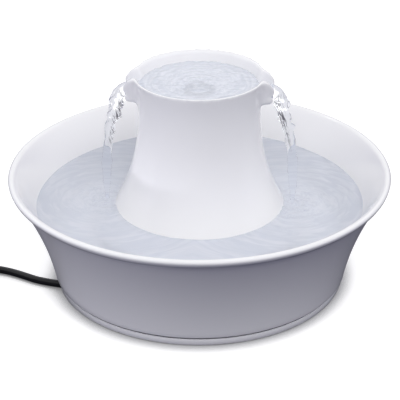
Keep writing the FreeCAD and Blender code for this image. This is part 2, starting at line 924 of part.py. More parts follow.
def make_plug_pins():
    start = plug_start()
    x1 = start.x - relief_length - plug_length
    pins = []
    for side in (-1, 1):
        y = start.y + side * pin_spacing / 2
        pin = box(x1 - pin_length, x1, y - pin_thickness / 2, y + pin_thickness / 2, start.z - pin_width / 2,
                  start.z + pin_width / 2)
        pin = pin.makeFillet(pin_width / 3, [e for e in pin.Edges if e.BoundBox.YLength > 1
                                             and e.BoundBox.XMax < x1 - 1])
        hole = Part.makeCylinder(pin_hole_r, 2 * pin_thickness, V(x1 - pin_length + pin_hole_place, y - pin_thickness, start.z),
                                 V(0, 1, 0))
        pins.append(pin.cut(hole))
    return pins


def report_cord(name, shape, path):
    expected = math.pi * cord_r ** 2 * path.Length
    print(name, "length", round(path.Length, 1), "volume ratio", round(shape.Volume / expected, 4))


def save(name, shape):
    solids = shape if isinstance(shape, list) else [shape]
    whole = Part.makeCompound(solids) if len(solids) > 1 else solids[0]
    if len(whole.Solids) == 1:
        whole = whole.Solids[0]
    whole.exportStep(os.path.join("parts", name + ".step"))
    print(name, len(whole.Solids), "solid(s), valid", whole.isValid(), "volume", round(whole.Volume, 1))


def main():
    os.makedirs("parts", exist_ok=True)
    lead, lead_path = make_pump_lead()
    run, run_path = make_cord_run()
    coil, spiral = make_cord_coil()
    pieces = {
        "bowl": make_bowl(),
        "base_pads": make_base_pads(),
        "tower": make_tower(),
        "outlet_ring": make_outlet_ring(),
        "riser_tube": make_riser_tube(),
        "riser_seal": make_riser_seal(),
        "suction_cups": make_suction_cups(),
        "filter_housing": make_filter_housing(),
        "housing_lid": make_housing_lid(),
        "foam_filter": make_foam_filter(),
        "carbon_frame": make_carbon_frame(),
        "carbon_pad": make_carbon_pad(),
        "pump_body": make_pump_body(),
        "pump_cover": make_pump_cover(),
        "pump_screws": make_pump_screws(),
        "front_bush": make_front_bush(),
        "rear_bush": make_rear_bush(),
        "impeller_shaft": make_impeller_shaft(),
        "rotor_magnet": make_rotor_magnet(),
        "impeller_wheel": make_impeller_wheel(),
        "flow_regulator": make_flow_regulator(),
        "lead_gland": make_lead_gland(),
        "stem_grommet": make_stem_grommet(),
        "pump_lead": lead,
        "cord_run": run,
        "cord_coil": coil,
        "cord_tie": make_cord_tie(),
        "plug_relief": make_plug_relief(),
        "plug_body": make_plug_body(),
        "plug_pins": make_plug_pins(),
    }
    for name, shape in pieces.items():
        save(name, shape)
    report_cord("pump_lead", lead, lead_path)
    report_cord("cord_run", run, run_path)
    report_cord("cord_coil", coil, spiral)
    print("cord radii", [round(r, 1) for r in cord_radii(route_points())])
    print("coil least gap to itself", round(coil_least_gap(), 3))
    print("cord length outside the bowl", round(run_path.Length + spiral.Length, 1))


main()
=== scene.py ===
import math
import random

import bmesh
import bpy
from mathutils import Matrix, Vector, noise


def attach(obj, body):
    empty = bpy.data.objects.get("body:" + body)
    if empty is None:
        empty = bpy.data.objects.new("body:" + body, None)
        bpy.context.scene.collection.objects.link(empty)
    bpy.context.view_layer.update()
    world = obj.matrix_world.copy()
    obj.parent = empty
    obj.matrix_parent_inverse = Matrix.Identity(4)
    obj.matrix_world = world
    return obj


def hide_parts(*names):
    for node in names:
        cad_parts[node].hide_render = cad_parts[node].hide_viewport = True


# A white ceramic pet water fountain with two running streams, on a white floor. All sizes are in metres.

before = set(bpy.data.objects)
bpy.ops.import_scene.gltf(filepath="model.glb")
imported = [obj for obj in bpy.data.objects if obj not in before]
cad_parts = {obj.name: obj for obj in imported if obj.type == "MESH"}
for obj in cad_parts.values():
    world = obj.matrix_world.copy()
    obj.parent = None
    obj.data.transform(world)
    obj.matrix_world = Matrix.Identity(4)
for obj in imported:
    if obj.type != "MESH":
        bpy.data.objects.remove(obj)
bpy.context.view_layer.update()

for loaded in bpy.context.selected_objects:
    loaded.select_set(False)

# Ceramic sizes
FOOT_R = 0.1215
FOOT_INNER_R = 0.111
FOOT_LEAN = 0.0008
PAD_PROUD = 0.0006
GROOVE_Z = 0.0066
GROOVE_HEIGHT = 0.0016
GROOVE_DEPTH = 0.0022
WALL_FOOT_R = 0.1236
SHOULDER_R = 0.153
SHOULDER_Z = 0.088
WALL_BOW = 0.0035
WALL = 0.0056
RIM_R = 0.159
RIM_Z = 0.0975
LIP = 0.0054
FLOOR_Z = 0.017
FLOOR_THICKNESS = 0.006
FLOOR_ROUND = 0.014
NOTCH_TURN = math.radians(197.9)
NOTCH_WIDTH = 0.014
NOTCH_HEIGHT = 0.0074
STEM_TURN = math.radians(197.0)
STEM_REACH = 0.0395
STEM_BORE_R = 0.013
STEM_WALL = 0.003
STEM_TOP_Z = 0.075
STEM_LIP = 0.0009

SKIRT_R = 0.088
NECK_R = 0.0503
NECK_Z = 0.148
COLUMN_BOW_R = 0.1665
MOUTH_BOW_R = 0.148
TOWER_TOP_Z = 0.183
SPOUT_TIP = 0.062
SPOUT_FOOT_Z = 0.160
CHANNEL_HALF = 0.0088
CHANNEL_Z = 0.1655
MOUTH_WALL = 0.0038
DISH_WALL_R = 0.0466
DISH_WALL_Z = 0.171
DISH_FLOOR_R = 0.030
DISH_FLOOR_Z = 0.160

# Water
WATER_Z = 0.0676
DISH_WATER_Z = 0.1748
STREAM_LANDING = 0.078
WATER_INTO_GLAZE = 0.0008

# Cord, with the given points of its route on the floor
CORD_R = 0.00315
CORD_Z = 0.00325
EXIT_POINT = (-0.1184, -0.0349, CORD_Z)
CORD_ROUTE = [
    (-0.1340, -0.0315, CORD_Z),
    (-0.1505, -0.0220, CORD_Z),
    (-0.1665, -0.0145, CORD_Z),
    (-0.1830, -0.0120, CORD_Z + 0.0004),
    (-0.1995, -0.0143, CORD_Z + 0.0010),
]
COIL_CENTRE = (-0.222, -0.064)
COIL_OUTER_R = 0.0497
COIL_PITCH = 0.00686
COIL_TURNS = 3.5
COIL_Z = CORD_Z + 0.001
LAYER_STEP = 0.0069
COIL_LEAD_IN = 0.007
COIL_TAIL = 0.010
COIL_POINTS_PER_TURN = 16

# Lamps: place, what it points at, width, height, watts, colour, and whether mirrors and water show it
LAMPS = {
    "front_softbox": ((0.3, -1.1, 1.6), (0, 0, 0.08), 1.3, 0.7, 13.5, (1, 0.99, 0.97), False),
    "low_panel": ((-1.5, -0.35, 0.02), (0, 0, 0.05), 0.6, 0.12, 6.0, (0.94, 0.93, 1), False),
    "small_lamp": ((-0.5, 0.9, 1.3), (0, 0, 0.17), 0.07, 0.07, 0.35, (1, 1, 1), True),
}
SKY_LOW = (0.240, 0.235, 0.390)
SKY_HIGH = (1.110, 1.110, 1.120)
OVERHEAD = 0.38
ROOM_DARKNESS = 0.9

# Floor, as the eye sees it and as it lights the object
FLOOR_SIZE = 12
FLOOR_DROP = 0.0002
FLOOR_SEEN = (0.62, 0.62, 0.62)
FLOOR_GLOW = 0.64
FLOOR_BOUNCE = (0.032, 0.031, 0.065)
FLOOR_IN_GLOSS = 0.05
CONTACT_REACH = 0.02
CONTACT_SHADE = 0.28

# Camera, in the photograph's frame
CAMERA_TURN = math.radians(3.5)
CAMERA_PITCH = math.radians(27.16)
CAMERA_ROLL = math.radians(-0.229)
CAMERA_BACK = 1.1996
CAMERA_SIDE = 0.00033
CAMERA_UP = 0.6835
CAMERA_LENS = 144.0
SENSOR = 36.0

ROUND_SEGMENTS = 256


# Helpers for modelling

def pick(piece):
    bpy.ops.object.select_all(action="DESELECT")
    bpy.context.view_layer.objects.active = piece
    piece.select_set(True)


def edit(piece):
    pick(piece)
    bpy.ops.object.mode_set(mode="EDIT")
    bpy.context.tool_settings.mesh_select_mode = (True, False, False)


def leave():
    bpy.ops.object.mode_set(mode="OBJECT")
    bpy.ops.object.select_all(action="DESELECT")


def added(name):
    piece = bpy.context.active_object
    piece.name = name
    piece.data.name = name
    return piece


def put_in_scene(name, data):
    thing = bpy.data.objects.new(name, data)
    bpy.context.scene.collection.objects.link(thing)
    return thing


def made_from(shape, name):
    mesh = bpy.data.meshes.new(name)
    shape.to_mesh(mesh)
    shape.free()
    return put_in_scene(name, mesh)


def settle(piece):
    # A finished piece's object sits at the origin, and its place is in its mesh.
    pick(piece)
    bpy.ops.object.transform_apply(location=True, rotation=True, scale=True)
    piece.select_set(False)
    return piece


def apply_modifiers(piece):
    pick(piece)
    for modifier in list(piece.modifiers):
        bpy.ops.object.modifier_apply(modifier=modifier.name)
    piece.select_set(False)


def shade_smooth(piece, angle=None):
    pick(piece)
    if angle is None:
        bpy.ops.object.shade_smooth()
    else:
        bpy.ops.object.shade_smooth_by_angle(angle=math.radians(angle))
    piece.select_set(False)


def face_outwards(piece):
    edit(piece)
    bpy.ops.mesh.select_all(action="SELECT")
    bpy.ops.mesh.remove_doubles(threshold=1e-6)
    bpy.ops.mesh.normals_make_consistent(inside=False)
    leave()


def boolean(piece, tool, operation):
    modifier = piece.modifiers.new(operation.lower(), "BOOLEAN")
    modifier.operation = operation
    modifier.solver = "EXACT"
    modifier.object = tool
    apply_modifiers(piece)
    bpy.data.objects.remove(tool)


def round_edges(piece, width, segments):
    modifier = piece.modifiers.new("round", "BEVEL")
    modifier.width = width
    modifier.segments = segments
    apply_modifiers(piece)


def melt(piece, voxel, rounds):
    # The surface is remade from small even faces, and its edges soften.
    remesh = piece.modifiers.new("remesh", "REMESH")
    remesh.mode = "VOXEL"
    remesh.voxel_size = voxel
    soften = piece.modifiers.new("soften", "SMOOTH")
    soften.factor = 0.5
    soften.iterations = rounds
    apply_modifiers(piece)


def clamped(value):
    return min(max(value, 0.0), 1.0)


def arc_points(start, middle, end, steps):
    # The points after the start of a circular arc through three (r, z) points.
    (ax, ay), (bx, by), (cx, cy) = start, middle, end
    d = 2 * (ax * (by - cy) + bx * (cy - ay) + cx * (ay - by))
    a2, b2, c2 = ax * ax + ay * ay, bx * bx + by * by, cx * cx + cy * cy
    ux = (a2 * (by - cy) + b2 * (cy - ay) + c2 * (ay - by)) / d
    uy = (a2 * (cx - bx) + b2 * (ax - cx) + c2 * (bx - ax)) / d
    radius = math.hypot(ax - ux, ay - uy)
    first = math.atan2(ay - uy, ax - ux)
    mid = math.atan2(by - uy, bx - ux)
    last = math.atan2(cy - uy, cx - ux)
    sweep = (last - first) % (2 * math.pi)
    if (mid - first) % (2 * math.pi) > sweep:
        sweep -= 2 * math.pi
    points = []
    for i in range(1, steps + 1):
        angle = first + sweep * i / steps
        points.append((ux + radius * math.cos(angle), uy + radius * math.sin(angle)))
    return points


def turned_piece(name, outline, segments=ROUND_SEGMENTS, centre=(0.0, 0.0)):
    # A circle is extruded from point to point of the (r, z) outline, as on a wheel, and both ends are closed.
    r, z = outline[0]
    bpy.ops.mesh.primitive_circle_add(vertices=segments, radius=r, location=(centre[0], centre[1], z))
    piece = settle(added(name))
    edit(piece)
    bpy.ops.mesh.select_all(action="SELECT")
    pivot = (centre[0], centre[1], 0.0)
    for next_r, next_z in outline[1:]:
        bpy.ops.mesh.extrude_region_move(TRANSFORM_OT_translate={"value": (0, 0, next_z - z)})
        bpy.ops.transform.resize(value=(next_r / r, next_r / r, 1), center_override=pivot)
        r, z = next_r, next_z
    bpy.ops.mesh.select_all(action="DESELECT")
    bpy.ops.mesh.select_non_manifold()
    bpy.ops.mesh.edge_face_add()
    leave()
    cap_ends(piece)
    face_outwards(piece)
    return piece


def cap_ends(piece):
    edit(piece)
    bpy.ops.mesh.select_all(action="DESELECT")
    bpy.ops.mesh.select_non_manifold()
    bpy.ops.mesh.fill_holes(sides=0)
    leave()


def cad_copy(name, node):
    piece = put_in_scene(name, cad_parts[node].data.copy())
    piece.data.materials.clear()
    face_outwards(piece)
    return piece


# Helpers for materials

def calc(tree, operation, *values):
    node = tree.nodes.new("ShaderNodeMath")
    node.operation = operation
    for socket, value in zip(node.inputs, values):
        if isinstance(value, (int, float)):
            socket.default_value = value
        else:
            tree.links.new(value, socket)
    return node.outputs[0]


def ramp(tree, value, low, high, to_low=0.0, to_high=1.0):
    node = tree.nodes.new("ShaderNodeMapRange")
    node.interpolation_type = "SMOOTHSTEP"
    node.inputs["From Min"].default_value = low
    node.inputs["From Max"].default_value = high
    node.inputs["To Min"].default_value = to_low
    node.inputs["To Max"].default_value = to_high
    tree.links.new(value, node.inputs["Value"])
    return node.outputs["Result"]


def mixed(tree, share, first, second):
    # The first colour where the share is 0 and the second where it is 1. Each is a colour or a socket.
    node = tree.nodes.new("ShaderNodeMix")
    node.data_type = "RGBA"
    tree.links.new(share, node.inputs["Factor"])
    for name, colour in (("A", first), ("B", second)):
        if isinstance(colour, tuple):
            node.inputs[name].default_value = (*colour, 1)
        else:
            tree.links.new(colour, node.inputs[name])
    return node.outputs["Result"]


def place_of(tree):
    coordinates = tree.nodes.new("ShaderNodeTexCoord")
    split = tree.nodes.new("ShaderNodeSeparateXYZ")
    tree.links.new(coordinates.outputs["Object"], split.inputs[0])
    return split.outputs


def from_axis(tree, x, y):
    squares = [calc(tree, "MULTIPLY", value, value) for value in (x, y)]
    return calc(tree, "SQRT", calc(tree, "ADD", *squares))


def noise_over(tree, place, detail, distortion):
    # Noise over a place that is given by two or three sockets.
    vector = tree.nodes.new("ShaderNodeCombineXYZ")
    for value, socket in zip(place, vector.inputs):
        tree.links.new(value, socket)
    texture = tree.nodes.new("ShaderNodeTexNoise")
    texture.inputs["Scale"].default_value = 1.0
    texture.inputs["Detail"].default_value = detail
    texture.inputs["Distortion"].default_value = distortion
    tree.links.new(vector.outputs[0], texture.inputs["Vector"])
    return texture.outputs["Fac"]


def new_group(name, inputs, outputs):
    group = bpy.data.node_groups.new(name, "ShaderNodeTree")
    for label, default in inputs.items():
        kind = "NodeSocketColor" if isinstance(default, tuple) else "NodeSocketFloat"
        group.interface.new_socket(name=label, in_out="INPUT", socket_type=kind).default_value = default
    for label, kind in outputs.items():
        group.interface.new_socket(name=label, in_out="OUTPUT", socket_type=kind)
    inside = group.nodes.new("NodeGroupInput")
    outside = group.nodes.new("NodeGroupOutput")
    return group, inside.outputs, outside.inputs


def placed_group(tree, group, values):
    node = tree.nodes.new("ShaderNodeGroup")
    node.node_tree = group
    for label, value in values.items():
        node.inputs[label].default_value = value
    return node.outputs


def new_material(name):
    material = bpy.data.materials.new(name)
    material.use_nodes = True
    return material, material.node_tree, material.node_tree.nodes["Principled BSDF"]


def streak_group():
    # Pale arcs round a middle on each side of the tower, painted highlights where ripples catch the light, and
    # thin foam curls near it: one mask.
    group, given, out = new_group("ripple_streaks", {"Middle": 0.0, "Across": 260.0},
                                  {"Streaks": "NodeSocketFloat"})
    arcs_around, curl_strength = 2.5, 1.25
    x, y, _ = place_of(group)
    x = calc(group, "SUBTRACT", calc(group, "ABSOLUTE", x), given["Middle"])
    away = from_axis(group, x, y)
    turn = calc(group, "ARCTAN2", y, x)
    arcs = noise_over(group, (
        calc(group, "MULTIPLY", away, given["Across"]),
        calc(group, "MULTIPLY", calc(group, "COSINE", turn), arcs_around),
        calc(group, "MULTIPLY", calc(group, "SINE", turn), arcs_around),
    ), 4.0, 0.8)
    streaks = ramp(group, arcs, 0.34, 0.72)
    foam = noise_over(group, (calc(group, "MULTIPLY", x, 170.0), calc(group, "MULTIPLY", y, 210.0)), 3.0, 1.6)
    curl = ramp(group, calc(group, "ABSOLUTE", calc(group, "SUBTRACT", foam, 0.5)), 0.05, 0.01)
    curl = calc(group, "MULTIPLY", curl, ramp(group, away, 0.046, 0.020))
    curl = calc(group, "MULTIPLY", curl, curl_strength)
    group.links.new(calc(group, "MAXIMUM", streaks, curl), out["Streaks"])
    return group


def fine_grain_group():
    # The low bumps of a moulded or cast surface as a height, and a slow change of its colour and roughness.
    group, given, out = new_group("surface_variation", {
        "Scale": 800.0,
        "Slow Scale": 12.0,
        "Colour": (0.8, 0.8, 0.8, 1),
        "Tone": 0.06,
        "Roughness": 0.4,
        "Roughness Change": 0.1,
    }, {"Colour": "NodeSocketColor", "Roughness": "NodeSocketFloat", "Height": "NodeSocketFloat"})
    place = group.nodes.new("ShaderNodeTexCoord").outputs["Object"]
    noises = []
    for scale, detail in (("Scale", 3.0), ("Slow Scale", 2.0)):
        texture = group.nodes.new("ShaderNodeTexNoise")
        texture.inputs["Detail"].default_value = detail
        group.links.new(place, texture.inputs["Vector"])
        group.links.new(given[scale], texture.inputs["Scale"])
        noises.append(texture.outputs["Fac"])
    fine, slow = noises
    centred = calc(group, "SUBTRACT", slow, 0.5)
    shade = group.nodes.new("ShaderNodeVectorMath")
    shade.operation = "SCALE"
    group.links.new(given["Colour"], shade.inputs[0])
    group.links.new(calc(group, "MULTIPLY_ADD", centred, given["Tone"], 1.0), shade.inputs["Scale"])
    group.links.new(shade.outputs[0], out["Colour"])
    rough = calc(group, "MULTIPLY_ADD", centred, given["Roughness Change"], given["Roughness"])
    group.links.new(rough, out["Roughness"])
    group.links.new(fine, out["Height"])
    return group


VARIATION = fine_grain_group()
STREAKS = streak_group()


def finished(name, colour, roughness, grain=800.0, bump=0.1, depth=0.0002, tone=0.06, change=0.1,
             metallic=0.0, coat=0.0, slow=12.0):
    material, tree, shader = new_material(name)
    shader.inputs["Metallic"].default_value = metallic
    shader.inputs["Coat Weight"].default_value = coat
    shader.inputs["Coat Roughness"].default_value = 0.05
    surface = placed_group(tree, VARIATION, {
        "Scale": grain,
        "Slow Scale": slow,
        "Colour": (*colour, 1),
        "Tone": tone,
        "Roughness": roughness,
        "Roughness Change": change,
    })
    tree.links.new(surface["Colour"], shader.inputs["Base Color"])
    tree.links.new(surface["Roughness"], shader.inputs["Roughness"])
    raised = tree.nodes.new("ShaderNodeBump")
    raised.inputs["Strength"].default_value = bump
    raised.inputs["Distance"].default_value = depth
    tree.links.new(surface["Height"], raised.inputs["Height"])
    tree.links.new(raised.outputs["Normal"], shader.inputs["Normal"])
    return material


def white_glaze():
    # Thick glossy glaze, faintly uneven, with its own clear coat. The groove above the foot is painted nearly
    # black, as painted shade for that recess.
    material = finished("white_glaze", (0.90, 0.90, 0.915), 0.16, grain=38.0, bump=0.05, depth=0.0006,
                        tone=0.02, change=0.04, coat=0.2, slow=9.0)
    tree = material.node_tree
    shader = tree.nodes["Principled BSDF"]
    shader.inputs["IOR"].default_value = 1.52
    glazed = shader.inputs["Base Color"].links[0].from_socket
    # Painted shade: a near-black colour in the groove stands in for the shade that falls in it.
    painted_groove_shade = (0.12, 0.11, 0.13)
    x, y, z = place_of(tree)
    away = from_axis(tree, x, y)
    height = calc(tree, "ABSOLUTE", calc(tree, "SUBTRACT", z, GROOVE_Z + GROOVE_HEIGHT / 2))
    groove = calc(tree, "MULTIPLY", ramp(tree, height, GROOVE_HEIGHT * 0.85, GROOVE_HEIGHT * 0.6),
                  ramp(tree, away, FOOT_R + 0.0004, FOOT_R - 0.0001))
    groove = calc(tree, "MULTIPLY", groove, ramp(tree, away, FOOT_INNER_R + 0.002, FOOT_INNER_R + 0.004))
    tree.links.new(mixed(tree, groove, glazed, painted_groove_shade), shader.inputs["Base Color"])
    return material


def through_shadows(tree, let_through):
    # A share of the lamps' light goes straight through the water to what lies below it.
    through = tree.nodes.new("ShaderNodeBsdfTransparent")
    through.inputs["Color"].default_value = (let_through, let_through, let_through, 1)
    path = tree.nodes.new("ShaderNodeLightPath")
    mixture = tree.nodes.new("ShaderNodeMixShader")
    tree.links.new(path.outputs["Is Shadow Ray"], mixture.inputs["Fac"])
    tree.links.new(tree.nodes["Principled BSDF"].outputs["BSDF"], mixture.inputs[1])
    tree.links.new(through.outputs["BSDF"], mixture.inputs[2])
    tree.links.new(mixture.outputs["Shader"], tree.nodes["Material Output"].inputs["Surface"])


def new_water(name, roughness, ior, clear):
    material, tree, shader = new_material(name)
    shader.inputs["Roughness"].default_value = roughness
    shader.inputs["IOR"].default_value = ior
    shader.inputs["Transmission Weight"].default_value = clear
    return material, tree, shader


def streaked_water(name, clear, dark, light, middle, across):
    # Moving water, a little milky with fine bubbles, with paler arcs painted in as highlights where its ripples
    # catch the light.
    material, tree, shader = new_water(name, 0.02, 1.333, clear)
    streaks = placed_group(tree, STREAKS, {"Middle": middle, "Across": across})
    # Painted highlights: the paler colour is laid where the ripples would catch the light.
    tree.links.new(mixed(tree, streaks["Streaks"], dark, light), shader.inputs["Base Color"])
    through_shadows(tree, 0.62)
    return material


def falling_water():
    # Clear streams, with painted shade in thin dark creases below the spout on the side that faces the tower. The
    # low index keeps them pale.
    material, tree, shader = new_water("falling_water", 0.0, 1.08, 1.0)
    clear, crease_shade = (0.97, 0.98, 1.0), (0.10, 0.10, 0.12)
    x, y, z = place_of(tree)
    # The middle of the fall leans outwards as it goes down.
    outside = calc(tree, "SUBTRACT", calc(tree, "ABSOLUTE", x), calc(tree, "MULTIPLY_ADD", z, -0.24, 0.1052))
    strands = noise_over(tree, (
        calc(tree, "MULTIPLY_ADD", z, 120.0, calc(tree, "MULTIPLY", x, 420.0)),
        calc(tree, "MULTIPLY", y, 190.0),
        calc(tree, "MULTIPLY", z, 30.0),
    ), 2.0, 1.2)
    # Painted shade: dark lines in the clear stream stand in for the shade in its creases.
    crease = ramp(tree, calc(tree, "ABSOLUTE", calc(tree, "SUBTRACT", strands, 0.5)), 0.045, 0.015)
    for limit in (ramp(tree, outside, 0.0012, -0.0012), ramp(tree, z, 0.112, 0.130), ramp(tree, z, 0.166, 0.160)):
        crease = calc(tree, "MULTIPLY", crease, limit)
    tree.links.new(mixed(tree, crease, clear, crease_shade), shader.inputs["Base Color"])
    through_shadows(tree, 0.8)
    return material


MATERIALS = {
    "white_glaze": white_glaze(),
    "bowl_water": streaked_water("bowl_water", 0.5, (0.77, 0.81, 0.915), (0.88, 0.91, 0.995),
                                 STREAM_LANDING, 200.0),
    "dish_water": streaked_water("dish_water", 0.32, (0.73, 0.765, 0.85), (0.87, 0.895, 0.965), 0.0, 330.0),
    "falling_water": falling_water(),
}
# Colour, roughness, and the grain of each plain finish
for finish_name, finish_colour, finish_roughness, finish_grain in [
    ("pad_rubber", (0.03, 0.03, 0.033), 0.7, dict(grain=1500.0, bump=0.3)),
    ("grey_rubber", (0.16, 0.165, 0.18), 0.5, dict(grain=1200.0, bump=0.15, change=0.15)),
    ("clear_tube", (0.55, 0.58, 0.61), 0.18, dict(grain=500.0, bump=0.05, tone=0.05)),
    ("housing_plastic", (0.022, 0.022, 0.024), 0.42, dict(grain=2200.0, bump=0.35)),
    ("pump_plastic", (0.012, 0.012, 0.014), 0.38, dict(grain=2600.0, bump=0.3)),
    ("wheel_plastic", (0.72, 0.73, 0.75), 0.28, dict(grain=900.0, bump=0.08)),
    ("ferrite", (0.045, 0.045, 0.05), 0.5, dict(grain=1800.0, bump=0.5, tone=0.2)),
    ("shaft_ceramic", (0.78, 0.77, 0.74), 0.12, dict(grain=900.0, bump=0.03)),
    ("bush_rubber", (0.02, 0.02, 0.02), 0.6, dict(grain=1500.0, bump=0.3)),
    ("screw_steel", (0.55, 0.55, 0.56), 0.3, dict(grain=1500.0, bump=0.15, metallic=1.0)),
    ("filter_foam", (0.055, 0.06, 0.07), 0.9, dict(grain=1100.0, bump=1.0, depth=0.0012, tone=0.25)),
    ("carbon_plastic", (0.74, 0.76, 0.78), 0.4, dict(grain=1800.0, bump=0.15)),
    ("carbon", (0.02, 0.02, 0.02), 0.95, dict(grain=700.0, bump=1.0, depth=0.0015, tone=0.5)),
    ("black_cord", (0.010, 0.010, 0.012), 0.36, dict(grain=900.0, bump=0.08, tone=0.15)),
    ("strap_weave", (0.018, 0.018, 0.02), 0.85, dict(grain=2600.0, bump=0.9, depth=0.0004, tone=0.2)),
    ("pin_brass", (0.78, 0.70, 0.50), 0.22, dict(grain=1500.0, bump=0.1, metallic=1.0)),
]:
    MATERIALS[finish_name] = finished(finish_name, finish_colour, finish_roughness, **finish_grain)

CAD_FINISHES = {
    "pad_rubber": ["base_pads"],
    "grey_rubber": ["outlet_ring", "riser_seal", "stem_grommet", "suction_cups"],
    "clear_tube": ["riser_tube"],
    "housing_plastic": ["filter_housing", "housing_lid"],
    "pump_plastic": ["pump_body", "pump_cover", "flow_regulator", "lead_gland"],
    "wheel_plastic": ["impeller_wheel"],
    "ferrite": ["rotor_magnet"],
    "shaft_ceramic": ["impeller_shaft"],
    "bush_rubber": ["front_bush", "rear_bush"],
    "screw_steel": ["pump_screws"],
    "carbon_plastic": ["carbon_frame"],
    "carbon": ["carbon_pad"],
    "black_cord": ["pump_lead", "plug_relief", "plug_body"],
    "pin_brass": ["plug_pins"],
}


def finish_cad_nodes():
    for finish, names in CAD_FINISHES.items():
        for name in names:
            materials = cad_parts[name].data.materials
            materials.clear()
            materials.append(MATERIALS[finish])


def dress(piece, finish, body, node=None):
    piece.data.materials.clear()
    piece.data.materials.append(MATERIALS[finish])
    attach(piece, body)
    if node:
        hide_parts(node)
    return piece


# Bowl

def wall_circle():
    # The outer wall is one long arc from the groove to the shoulder. Its centre lies outside the bowl.
    foot = Vector((WALL_FOOT_R, GROOVE_Z + GROOVE_HEIGHT))
    shoulder = Vector((SHOULDER_R, SHOULDER_Z))
    chord = shoulder - foot
    radius = chord.length ** 2 / (8 * WALL_BOW) + WALL_BOW / 2
    outward = Vector((chord.y, -chord.x)).normalized()
    return (foot + shoulder) * 0.5 + outward * (radius - WALL_BOW), radius


def bowl_r(z, inwards=0.0):
    centre, radius = wall_circle()
    return centre.x - math.sqrt((radius + inwards) ** 2 - (z - centre.y) ** 2)


def bowl_outline():
    groove_top = GROOVE_Z + GROOVE_HEIGHT
    underside = FLOOR_Z - FLOOR_THICKNESS
    wall_middle = (groove_top + SHOULDER_Z) / 2
    round_r = 0.0004
    points = [(0.004, underside), (FOOT_INNER_R * 0.5, underside), (FOOT_INNER_R - 0.002, underside)]
    points += [(FOOT_INNER_R, underside - 0.002), (FOOT_INNER_R, PAD_PROUD + round_r)]
    points += [(FOOT_INNER_R + round_r, PAD_PROUD), (FOOT_R - 2 * round_r, PAD_PROUD)]
    points += [(FOOT_R - 0.4 * round_r, PAD_PROUD + 0.6 * round_r)]
    points += [(FOOT_R + 0.0002, PAD_PROUD + 2.4 * round_r)]
    band_r = FOOT_R + FOOT_LEAN
    points += [(band_r, GROOVE_Z - 1.4 * round_r), (band_r - 0.3 * round_r, GROOVE_Z - 0.4 * round_r)]
    points += [(band_r - 1.3 * round_r, GROOVE_Z), (band_r - GROOVE_DEPTH, GROOVE_Z + 0.1 * GROOVE_HEIGHT)]
    points += [(band_r - GROOVE_DEPTH, GROOVE_Z + 0.95 * GROOVE_HEIGHT)]
    points += [(WALL_FOOT_R - 1.1 * round_r, groove_top - 0.2 * round_r), (WALL_FOOT_R, groove_top + round_r)]
    low = groove_top + 2 * round_r
    start = (bowl_r(low), low)
    points.append(start)
    points += arc_points(start, (bowl_r(wall_middle), wall_middle), (SHOULDER_R, SHOULDER_Z), 26)
    edge_z = RIM_Z - 0.38 * LIP
    out, rise = RIM_R - SHOULDER_R, edge_z - SHOULDER_Z
    under_lip = (SHOULDER_R + 0.56 * out, SHOULDER_Z + 0.42 * rise)
    points += arc_points(points[-1], (SHOULDER_R + 0.26 * out, SHOULDER_Z + 0.23 * rise), under_lip, 4)
    points += arc_points(under_lip, (SHOULDER_R + 0.87 * out, SHOULDER_Z + 0.69 * rise), (RIM_R, edge_z), 6)
    points += arc_points(points[-1], (RIM_R - 0.13 * LIP, RIM_Z - 0.14 * LIP), (RIM_R - LIP / 2, RIM_Z), 6)
    inner_top = (RIM_R - 1.15 * LIP, RIM_Z - LIP / 3)
    points += arc_points(points[-1], (RIM_R - 0.86 * LIP, RIM_Z - 0.1 * LIP), inner_top, 6)
    bend_z = FLOOR_Z + FLOOR_ROUND
    bend_r = bowl_r(bend_z, WALL)
    middle = (bend_z + inner_top[1]) / 2
    points += arc_points(inner_top, (bowl_r(middle, WALL), middle), (bend_r, bend_z), 26)
    floor_r = bowl_r(FLOOR_Z, WALL) - 0.78 * FLOOR_ROUND
    bend = (bend_r - 0.33 * FLOOR_ROUND, FLOOR_Z + 0.27 * FLOOR_ROUND)
    points += arc_points(points[-1], bend, (floor_r, FLOOR_Z), 10)
    points += [(0.09, FLOOR_Z), (0.06, FLOOR_Z), (0.004, FLOOR_Z)]
    return points


def make_notch_tool():
    bpy.ops.mesh.primitive_cube_add(size=1)
    tool = added("notch_tool")
    middle = (FOOT_INNER_R + WALL_FOOT_R) / 2
    reach = WALL_FOOT_R - FOOT_INNER_R + 0.012
    tool.scale = (reach, NOTCH_WIDTH, NOTCH_HEIGHT * 2)
    settle(tool)
    round_edges(tool, NOTCH_WIDTH / 4, 5)
    tool.matrix_world = Matrix.Rotation(NOTCH_TURN, 4, "Z") @ Matrix.Translation((middle, 0, 0))
    return settle(tool)


def make_bowl():
    bowl = turned_piece("bowl_ceramic", bowl_outline())
    stem_x = STEM_REACH * math.cos(STEM_TURN)
    stem_y = STEM_REACH * math.sin(STEM_TURN)
    outer = STEM_BORE_R + STEM_WALL
    outline = [(outer + 0.004, FLOOR_Z - 0.001), (outer + 0.003, FLOOR_Z + 0.0003)]
    outline += arc_points(outline[-1], (outer + 0.0009, FLOOR_Z + 0.0012), (outer, FLOOR_Z + 0.004), 5)
    outline += [(outer, STEM_TOP_Z - STEM_LIP), (outer - 0.3 * STEM_LIP, STEM_TOP_Z - 0.3 * STEM_LIP)]
    outline += [(outer - STEM_LIP, STEM_TOP_Z), (STEM_BORE_R * 0.4, STEM_TOP_Z)]
    boolean(bowl, turned_piece("stem", outline, 64, (stem_x, stem_y)), "UNION")
    bore_top = STEM_TOP_Z + 0.005
    bpy.ops.mesh.primitive_cylinder_add(vertices=64, radius=STEM_BORE_R, depth=bore_top,
                                        location=(stem_x, stem_y, bore_top / 2))
    boolean(bowl, settle(added("bore")), "DIFFERENCE")
    boolean(bowl, make_notch_tool(), "DIFFERENCE")
    shade_smooth(bowl, 32)
    dress(bowl, "white_glaze", "base", "bowl")


# Tower

